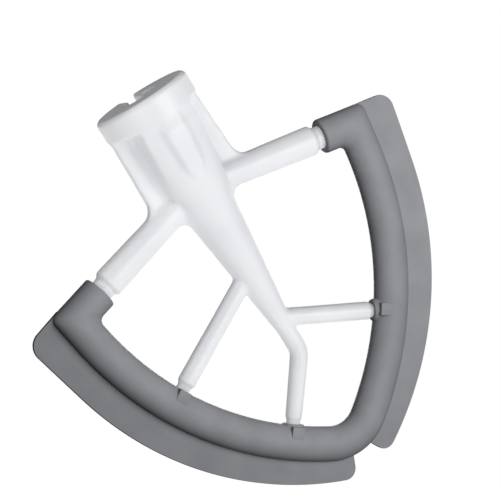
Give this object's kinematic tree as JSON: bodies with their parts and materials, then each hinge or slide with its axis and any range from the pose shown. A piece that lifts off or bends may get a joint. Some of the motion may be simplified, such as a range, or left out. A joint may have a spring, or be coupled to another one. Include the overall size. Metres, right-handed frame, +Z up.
{
  "type": "flat beater",
  "caption": "Flat beater: bored hub with a bayonet slot, sloping arms, spine and spokes in one coated casting, inside a soft moulded ring with thin wiper fins that sweep a mixing bowl.",
  "frame": {"origin": "centre of the shaft bore at its mouth, in the flat top of the hub", "axes": "+Z up the hub axis, out of the bore towards the mixer; +X across the beater, towards the side with the shorter spoke; the front faces -Y"},
  "size_m": [0.1548, 0.0349, 0.1528],
  "materials": {
    "coated_casting": "smooth satin-gloss coating on die-cast aluminium",
    "soft_edge": "fine matte moulded elastomer"
  },
  "bodies": {
    "root": {"frame_casting": "coated_casting", "flex_edge": "soft_edge"}
  },
  "joints": []
}
